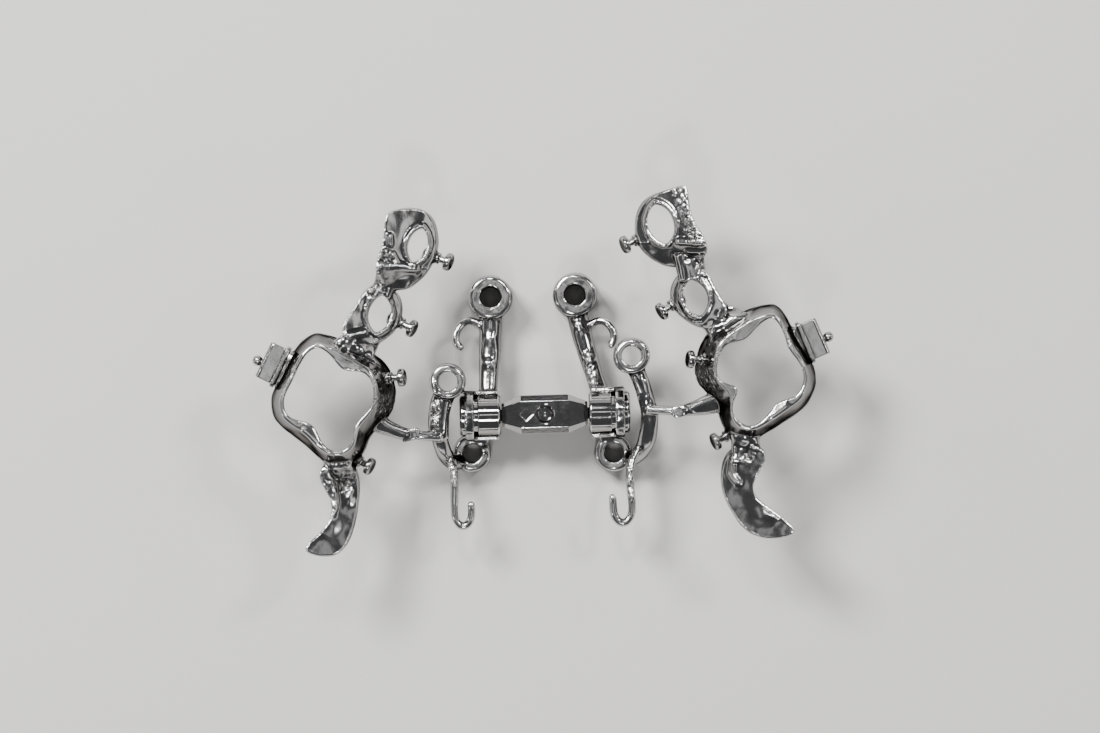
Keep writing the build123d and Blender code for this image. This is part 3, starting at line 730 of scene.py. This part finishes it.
@dataclass
class PrintedHalf:
    """One printed half: the tooth frame with its band and pads, and the anchor frame with its rings."""

    side: str
    frame_bumps: tuple[Bump, ...]
    anchor_bumps: tuple[Bump, ...]
    frame_patches: tuple[Patch, ...]
    anchor_patches: tuple[Patch, ...]
    frame_seams: tuple[Seam, ...]
    voxel: float = 0.125
    smoothing: int = 8
    lumps: tuple[Wave, ...] = (Wave(2.4, 0.08), Wave(1.2, 0.04))
    grain: Wave = Wave(0.34, 0.13)
    edge_passes: int = 14
    edge_bend: float = 0.09

    def build(self, material: bpy.types.Material) -> None:
        """Makes both printed pieces of the half.

        Args:
            material: The printed metal.
        """
        for kind, bumps, patches, seams in (
            ("tooth_frame", self.frame_bumps, self.frame_patches, self.frame_seams),
            ("anchor_frame", self.anchor_bumps, self.anchor_patches, ()),
        ):
            skin = MetalSkin(f"{self.side}_{kind}")
            skin.remesh(self.voxel, self.smoothing)
            skin.fill(seams)
            skin.sculpt(self.lumps, bumps, self.grain, patches)
            skin.mark(self.edge_passes, self.edge_bend, patches)
            skin.dress(f"{self.side}_half", material)


LEFT_HALF = PrintedHalf(
    side="left",
    frame_bumps=(
        # First pad: cross ridge, hollows behind it and small rises before it
        Bump(((-16.1, 10.93), (-14.32, 10.97), (-12.6, 10.6)), 0.45, 0.22),
        Bump(((-14.3, 9.5),), 0.8, -0.2),
        Bump(((-12.0, 10.0),), 0.7, -0.15),
        Bump(((-15.1, 13.1), (-15.1, 13.9)), 0.35, 0.2),
        Bump(((-14.85, 12.1), (-14.6, 11.4)), 0.32, 0.18),
        Bump(((-15.5, 12.5),), 0.32, 0.18),
        Bump(((-16.1, 12.1),), 0.35, 0.2),
        # Beads on the neck between the pads
        Bump(((-16.3, 10.0),), 0.45, 0.3),
        Bump(((-16.0, 9.3),), 0.4, 0.3),
        Bump(((-16.3, 8.5),), 0.45, 0.3),
        Bump(((-17.2, 7.8),), 0.45, 0.25),
        # Web between the second pad and the band
        Bump(((-20.62, 3.28), (-19.75, 4.0), (-17.9, 4.4)), 0.5, 0.25),
        Bump(((-18.8, 3.4),), 0.5, 0.1),
        Bump(((-18.1, 2.6),), 0.5, 0.1),
        # Rest over the rear outer corner of the band
        Bump(((-24.1, -5.4), (-22.9, -6.6)), 0.6, 0.14),
        # Distal arm: beaded ridge along its outer edge, lumps and a hollow
        Bump(((-22.1, -9.39), (-21.6, -10.8), (-21.3, -12.5), (-21.8, -13.9)), 0.45, 0.28),
        Bump(((-21.9, -10.1),), 0.3, 0.16),
        Bump(((-21.5, -11.5),), 0.3, 0.16),
        Bump(((-21.4, -12.9),), 0.3, 0.16),
        Bump(((-20.0, -12.5),), 0.8, 0.12),
        Bump(((-21.7, -15.0),), 1.1, 0.1),
        Bump(((-23.0, -16.4),), 0.9, 0.09),
        Bump(((-20.3, -10.8),), 0.7, -0.25),
    ),
    anchor_bumps=(
        # Front arm, side ring, side arm, collar, traction hook and rear ring
        Bump(((-5.7, 0.96),), 0.6, 0.25),
        Bump(((-5.4, 3.4),), 0.7, 0.14),
        Bump(((-11.2, -0.92),), 0.4, 0.16),
        Bump(((-11.2, -1.75),), 0.4, 0.16),
        Bump(((-11.3, -3.3),), 0.45, 0.25),
        Bump(((-11.3, -4.9),), 0.45, 0.25),
        Bump(((-7.97, -4.0),), 0.4, 0.16),
        Bump(((-7.97, -5.0),), 0.4, 0.16),
        Bump(((-9.6, -9.65),), 0.45, 0.22),
        Bump(((-9.4, -10.8),), 0.4, 0.18),
        Bump(((-6.4, -7.96),), 0.4, 0.16),
    ),
    frame_patches=(
        Patch(((-15.6, 11.5),), 0.9),
        Patch(((-16.3, 9.9), (-16.2, 8.6)), 0.8),
        Patch(((-15.8, -3.0),), 1.4),
        Patch(((-20.1, -9.6), (-20.1, -11.4)), 0.8),
    ),
    anchor_patches=(
        Patch(((-11.2, -3.0), (-11.2, -5.6)), 0.7),
        Patch(((-9.6, -9.2), (-9.4, -11.2)), 0.5),
    ),
    frame_seams=(
        # From the web to the band, and from the distal arm to the band
        Seam(
            (
                (-20.3, 3.4, 13.9),
                (-19.4, 2.95, 13.95),
                (-18.55, 2.5, 13.7),
                (-17.75, 2.0, 13.2),
                (-17.2, 1.5, 12.9),
            )
        ),
        Seam(((-21.6, -8.65, 12.7), (-21.0, -8.75, 13.1), (-20.4, -8.7, 12.8))),
    ),
)
RIGHT_HALF = PrintedHalf(
    side="right",
    frame_bumps=(
        # First pad: cross ridges, hollows behind them
        Bump(((13.9, 12.7), (16.1, 12.4)), 0.4, 0.22),
        Bump(((14.9, 11.66), (16.5, 11.6)), 0.35, 0.18),
        Bump(((14.73, 10.98),), 0.5, -0.16),
        Bump(((15.4, 14.9),), 0.5, 0.14),
        # Beads on the neck between the pads
        Bump(((16.5, 10.2),), 0.45, 0.3),
        Bump(((16.2, 9.4),), 0.45, 0.3),
        # Web between the second pad and the band
        Bump(((18.9, 4.9), (20.6, 4.8)), 0.5, 0.15),
        Bump(((17.77, 5.3),), 0.4, 0.1),
        Bump(((17.16, 4.3),), 0.4, 0.1),
        # Connecting arm's root
        Bump(((15.0, -4.0), (16.2, -3.5), (17.96, -3.0)), 0.5, 0.25),
        # Rest over the rear outer corner of the band
        Bump(((24.1, -4.2), (22.9, -5.1)), 0.6, 0.14),
        # Distal arm: bead at its root, hollows, ridge and lump
        Bump(((21.2, -8.0),), 0.6, 0.3),
        Bump(((20.2, -8.9),), 0.6, -0.2),
        Bump(((18.9, -9.3), (18.7, -10.8), (19.3, -11.7)), 0.4, 0.25),
        Bump(((20.74, -13.2),), 0.9, -0.1),
        Bump(((21.42, -15.4),), 0.9, -0.1),
        Bump(((21.6, -12.9), (22.3, -14.3), (23.4, -15.2)), 0.5, 0.12),
    ),
    anchor_bumps=(
        # Front arm, collar, traction hook and side arm
        Bump(((3.64, 4.61),), 0.6, 0.22),
        Bump(((4.68, 0.99),), 0.6, 0.28),
        Bump(((4.92, -1.37),), 0.55, 0.28),
        Bump(((6.5, -2.2),), 0.5, 0.22),
        Bump(((7.0, -6.15),), 0.45, 0.18),
        Bump(((8.51, -11.25),), 0.45, 0.22),
        Bump(((8.7, -13.0),), 0.4, 0.18),
        Bump(((10.28, -1.19), (10.54, -2.73)), 0.45, 0.16),
    ),
    frame_patches=(
        Patch(((14.3, 17.6), (15.0, 15.6), (15.6, 13.1)), 1.0),
        Patch(((16.3, 10.2), (16.1, 9.2)), 0.8),
        Patch(((16.3, -1.2),), 1.4),
        Patch(((20.2, -9.2),), 0.7),
    ),
    anchor_patches=(
        Patch(((4.5, 1.4), (5.0, -1.4)), 0.6),
        Patch(((8.5, -10.4), (8.7, -12.6)), 0.5),
    ),
    frame_seams=(
        # From the web to the band, and from the distal arm to the band
        Seam(
            (
                (17.0, 3.4, 13.3),
                (17.5, 3.7, 13.6),
                (18.3, 4.1, 13.85),
                (19.3, 4.55, 13.8),
                (20.2, 4.85, 13.7),
            )
        ),
        Seam(((19.5, -7.0, 12.8), (20.1, -7.1, 13.1), (20.7, -7.15, 12.7))),
    ),
)


@dataclass
class StockAttachments:
    """The bought-in pieces welded to one half: the buccal tube and the lingual buttons."""

    side: str
    voxel: float = 0.07
    smoothing: int = 4
    lumps: tuple[Wave, ...] = (Wave(0.9, 0.012),)
    edge_passes: int = 10
    edge_bend: float = 0.06
    buttons: tuple[str, ...] = ("front", "premolar", "molar", "distal")

    def build(self, material: bpy.types.Material) -> None:
        """Makes the tube and the buttons.

        Args:
            material: The stock steel.
        """
        for node in [f"{self.side}_buccal_tube"] + [f"{self.side}_{name}_button" for name in self.buttons]:
            skin = MetalSkin(node)
            skin.remesh(self.voxel, self.smoothing)
            skin.sculpt(self.lumps)
            skin.mark(self.edge_passes, self.edge_bend, ())
            skin.dress(f"{self.side}_half", material)


@dataclass
class ExpansionScrew:
    """The driver, the sleeves and the spindle with its two threads, in millimetres.

    The thread's foot, to either side of its crest, is told in pitches and bites a little into the core.
    """

    axis_y: float = -4.4
    axis_z: float = 5.5
    edge_width: float = 0.07
    crest: float = 0.7
    root: float = 0.57
    pitch: float = 0.5
    foot: float = 0.42
    bite: float = 0.05
    thread_start: float = 4.0
    half_length: float = 8.4
    steps: int = 20
    segments: int = 32
    shine: float = 0.55

    def build(self, material: bpy.types.Material) -> None:
        """Makes every piece of the screw.

        Args:
            material: The turned steel.
        """
        for node, body in (
            ("square_driver", "driver"),
            ("left_threaded_sleeve", "left_half"),
            ("right_threaded_sleeve", "right_half"),
        ):
            skin = MetalSkin(node)
            skin.crisp(self.edge_width)
            skin.dress(body, material)
        self._spindle(material)

    def _spindle(self, material: bpy.types.Material) -> None:
        """Makes the spindle: a plain core and a thread of each hand.

        Args:
            material: The turned steel.
        """
        shape = bmesh.new()
        turn = Matrix.Translation((0, self.axis_y, self.axis_z)) @ Matrix.Rotation(math.pi / 2, 4, "Y")
        bmesh.ops.create_cone(
            shape,
            cap_ends=True,
            segments=self.segments,
            radius1=self.root,
            radius2=self.root,
            depth=2 * self.half_length,
            matrix=turn,
        )
        for hand in (1, -1):
            self._thread(shape, hand)
        bmesh.ops.remove_doubles(shape, verts=shape.verts, dist=MetalSkin.MERGE_DISTANCE)
        bmesh.ops.recalc_face_normals(shape, faces=shape.faces)
        bmesh.ops.scale(shape, vec=Vector((MM,) * 3), verts=shape.verts)
        mesh = bpy.data.meshes.new("threaded_spindle_finished")
        shape.to_mesh(mesh)
        shape.free()
        for name, value in ((Attribute.EDGE, self.shine), (Attribute.ROUGH, 0.0)):
            layer = mesh.attributes.new(name.value, "FLOAT", "POINT")
            layer.data.foreach_set("value", np.full(len(mesh.vertices), value, dtype=np.float32))
        mesh.shade_smooth()
        mesh.materials.append(material)
        piece = bpy.data.objects.new("threaded_spindle_finished", mesh)
        bpy.context.scene.collection.objects.link(piece)
        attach(piece, "screw_core")
        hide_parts("threaded_spindle")
        LOG.info("%s: %d faces on screw_core", piece.name, len(mesh.polygons))

    def _thread(self, shape: bmesh.types.BMesh, hand: int) -> None:
        """Winds one thread round the spindle's core.

        Args:
            shape: The spindle's mesh.
            hand: 1 for the thread on the right side, -1 for the left one.
        """
        turns = int((self.half_length - self.thread_start - self.pitch) / self.pitch)
        flank = self.pitch * self.foot
        low = self.root - self.bite
        centre = Vector((0, self.axis_y, self.axis_z))
        profile = [(-flank, low), (0.0, self.crest), (flank, low)]
        start = hand * (self.thread_start + self.pitch / 2)
        corners = [shape.verts.new(centre + Vector((start + hand * x, 0, r))) for x, r in profile]
        edges = [shape.edges.new(pair) for pair in zip(corners, corners[1:])]
        bmesh.ops.spin(
            shape,
            geom=corners + edges,
            cent=centre,
            axis=Vector((1, 0, 0)),
            dvec=Vector((hand * self.pitch / self.steps, 0, 0)),
            angle=2 * math.pi * turns,
            steps=self.steps * turns,
        )


@dataclass(frozen=True)
class SoftBox:
    """A soft area light, placed and aimed in millimetres."""

    name: str
    place: tuple[float, float, float]
    size: tuple[float, float]
    power: float

    def build(self, aim: Vector) -> None:
        """Hangs the light and turns it to the part.

        Args:
            aim: The point that it faces.
        """
        lamp = bpy.data.lights.new(self.name, "AREA")
        lamp.shape = "RECTANGLE"
        lamp.size, lamp.size_y = (side * MM for side in self.size)
        lamp.energy = self.power
        light = bpy.data.objects.new(self.name, lamp)
        light.visible_camera = False
        light.location = Vector(self.place) * MM
        light.rotation_euler = (aim - light.location).to_track_quat("-Z", "Y").to_euler()
        bpy.context.scene.collection.objects.link(light)


@dataclass
class Studio:
    """Pale floor, soft lights and the camera straight above the part, in millimetres."""

    lens: float = 130.9
    sensor: float = 36.0
    camera_place: tuple[float, float, float] = (0.66, 0.43, 414.5)
    camera_roll: float = -1.5
    camera_clip: tuple[float, float] = (10.0, 10000.0)
    aim_height: float = 6.0
    floor_size: float = 1600.0
    floor_colour: tuple[float, float, float] = (0.80, 0.785, 0.76)
    floor_roughness: float = 0.75
    world_colour: tuple[float, float, float] = (0.55, 0.57, 0.60)
    world_strength: float = 0.18
    boxes: tuple[SoftBox, ...] = (
        SoftBox("key_box", (-200.0, 220.0, 380.0), (130.0, 130.0), 2.6),
        SoftBox("fill_box", (235.0, 190.0, 380.0), (60.0, 60.0), 0.55),
        SoftBox("left_strip", (-420.0, -20.0, 195.0), (300.0, 60.0), 0.09),
        SoftBox("right_strip", (420.0, 20.0, 250.0), (300.0, 60.0), 0.1),
        SoftBox("front_card", (40.0, 430.0, 200.0), (380.0, 160.0), 0.12),
        SoftBox("front_strip", (0.0, 420.0, 75.0), (420.0, 40.0), 0.12),
        SoftBox("back_strip", (0.0, -420.0, 75.0), (420.0, 40.0), 0.12),
        SoftBox("front_flash", (-32.0, 215.0, 415.0), (56.0, 56.0), 0.4),
        SoftBox("back_flash", (-32.0, -215.0, 415.0), (56.0, 56.0), 0.4),
        SoftBox("left_front_glint", (-400.0, 150.0, 260.0), (34.0, 34.0), 0.08),
        SoftBox("left_back_glint", (-400.0, -150.0, 260.0), (34.0, 34.0), 0.08),
        SoftBox("right_front_glint", (400.0, 150.0, 260.0), (34.0, 34.0), 0.08),
        SoftBox("right_back_glint", (400.0, -150.0, 260.0), (34.0, 34.0), 0.08),
        SoftBox("left_slope", (-330.0, -92.0, 360.0), (140.0, 60.0), 0.017),
        SoftBox("right_slope", (330.0, -92.0, 360.0), (140.0, 60.0), 0.017),
        SoftBox("left_ceiling", (-110.0, 0.0, 720.0), (240.0, 110.0), 0.095),
        SoftBox("right_ceiling", (110.0, 0.0, 720.0), (240.0, 110.0), 0.08),
        SoftBox("ring_panel", (0.0, 40.0, 720.0), (50.0, 50.0), 0.02),
    )

    def build(self) -> None:
        """Makes the floor, the lights and the camera."""
        self._floor()
        self._world()
        for box in self.boxes:
            box.build(Vector((0.0, 0.0, self.aim_height)) * MM)
        view = bpy.data.cameras.new("photo_camera")
        view.lens, view.sensor_width = self.lens, self.sensor
        view.clip_start, view.clip_end = (distance * MM for distance in self.camera_clip)
        camera = bpy.data.objects.new("photo_camera", view)
        camera.location = Vector(self.camera_place) * MM
        camera.rotation_euler = (0.0, 0.0, math.radians(self.camera_roll))
        bpy.context.scene.collection.objects.link(camera)
        bpy.context.scene.camera = camera

    def _floor(self) -> None:
        """Lays the pale floor under the part."""
        shape = bmesh.new()
        bmesh.ops.create_grid(shape, x_segments=1, y_segments=1, size=self.floor_size * MM / 2)
        mesh = bpy.data.meshes.new("studio_floor")
        shape.to_mesh(mesh)
        shape.free()
        floor = bpy.data.objects.new("studio_floor", mesh)
        bpy.context.scene.collection.objects.link(floor)
        paint = bpy.data.materials.new("pale_floor")
        paint.use_nodes = True
        shader = paint.node_tree.nodes["Principled BSDF"]
        shader.inputs["Base Color"].default_value = (*self.floor_colour, 1.0)
        shader.inputs["Roughness"].default_value = self.floor_roughness
        mesh.materials.append(paint)

    def _world(self) -> None:
        """Sets the even light of the room."""
        world = bpy.data.worlds.new("studio_room")
        world.use_nodes = True
        room = world.node_tree.nodes["Background"]
        room.inputs["Color"].default_value = (*self.world_colour, 1.0)
        room.inputs["Strength"].default_value = self.world_strength
        bpy.context.scene.world = world


def main() -> None:
    """Builds the sub-assemblies in order."""
    logging.basicConfig(level=logging.INFO, format="%(name)s: %(message)s")
    groups = SharedGroups()
    printed = COBALT_CHROME.material(groups)
    turned = TURNED_STEEL.material(groups)
    stock = STOCK_STEEL.material(groups)
    LEFT_HALF.build(printed)
    RIGHT_HALF.build(printed)
    StockAttachments("left").build(stock)
    StockAttachments("right").build(stock)
    ExpansionScrew().build(turned)
    Studio().build()


if __name__ == "__main__":
    main()
